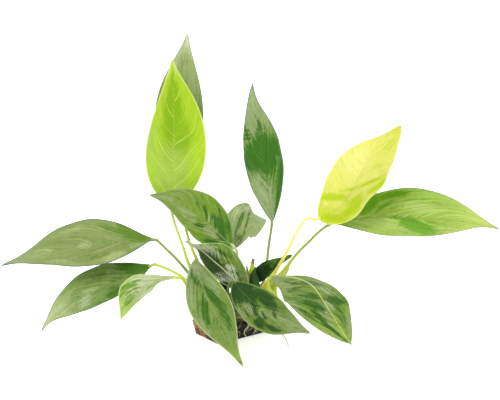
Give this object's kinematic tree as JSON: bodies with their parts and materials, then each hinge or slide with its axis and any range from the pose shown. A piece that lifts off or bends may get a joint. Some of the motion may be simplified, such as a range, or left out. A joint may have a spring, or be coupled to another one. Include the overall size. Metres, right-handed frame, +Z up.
{
  "type": "anubias plant on wood",
  "caption": "Aquarium plant with broad leaves on arching stalks, growing from a creeping rhizome rooted on a small sawn block of bogwood.",
  "frame": {"origin": "centre of the block's flat underside, which the plant stands on", "axes": "+Z up, +X to the right and -Y towards the viewer in the picture's view"},
  "size_m": [0.3012, 0.1353, 0.1716],
  "materials": {
    "leaf_green": "satin",
    "leaf_lime": "satin",
    "leaf_yellow": "satin",
    "stalk_green": "satin",
    "stalk_pale": "satin",
    "rhizome": "satin",
    "shoot": "satin",
    "root": "satin",
    "bogwood": "satin"
  },
  "bodies": {
    "root": {"bogwood_block": "bogwood", "rhizome": "rhizome", "leaf_tall_back": "leaf_green", "stalk_tall_back": "stalk_green", "leaf_tall_lime": "leaf_lime", "stalk_tall_lime": "stalk_pale", "leaf_crown_left": "leaf_green", "stalk_crown_left": "stalk_green", "leaf_arching_back": "leaf_green", "stalk_arching_back": "stalk_green", "leaf_folded_centre": "leaf_green", "stalk_folded_centre": "stalk_green", "leaf_front_hanging": "leaf_green", "stalk_front_hanging": "stalk_green", "leaf_far_left": "leaf_green", "stalk_far_left": "stalk_green", "leaf_low_left": "leaf_green", "stalk_low_left": "stalk_pale", "leaf_small_left": "leaf_green", "stalk_small_left": "stalk_pale", "leaf_upright_centre": "leaf_green", "stalk_upright_centre": "stalk_green", "leaf_small_back": "leaf_green", "stalk_small_back": "stalk_green", "leaf_yellow_right": "leaf_yellow", "stalk_yellow_right": "stalk_pale", "leaf_far_right": "leaf_green", "stalk_far_right": "stalk_green", "leaf_low_right": "leaf_green", "stalk_low_right": "stalk_pale", "leaf_front_right": "leaf_green", "stalk_front_right": "stalk_green", "shoot_tall": "shoot", "shoot_short": "shoot", "shoot_young_leaf": "leaf_green", "root_left": "root", "root_middle": "root", "root_right": "root", "root_trailing": "root"}
  },
  "joints": []
}
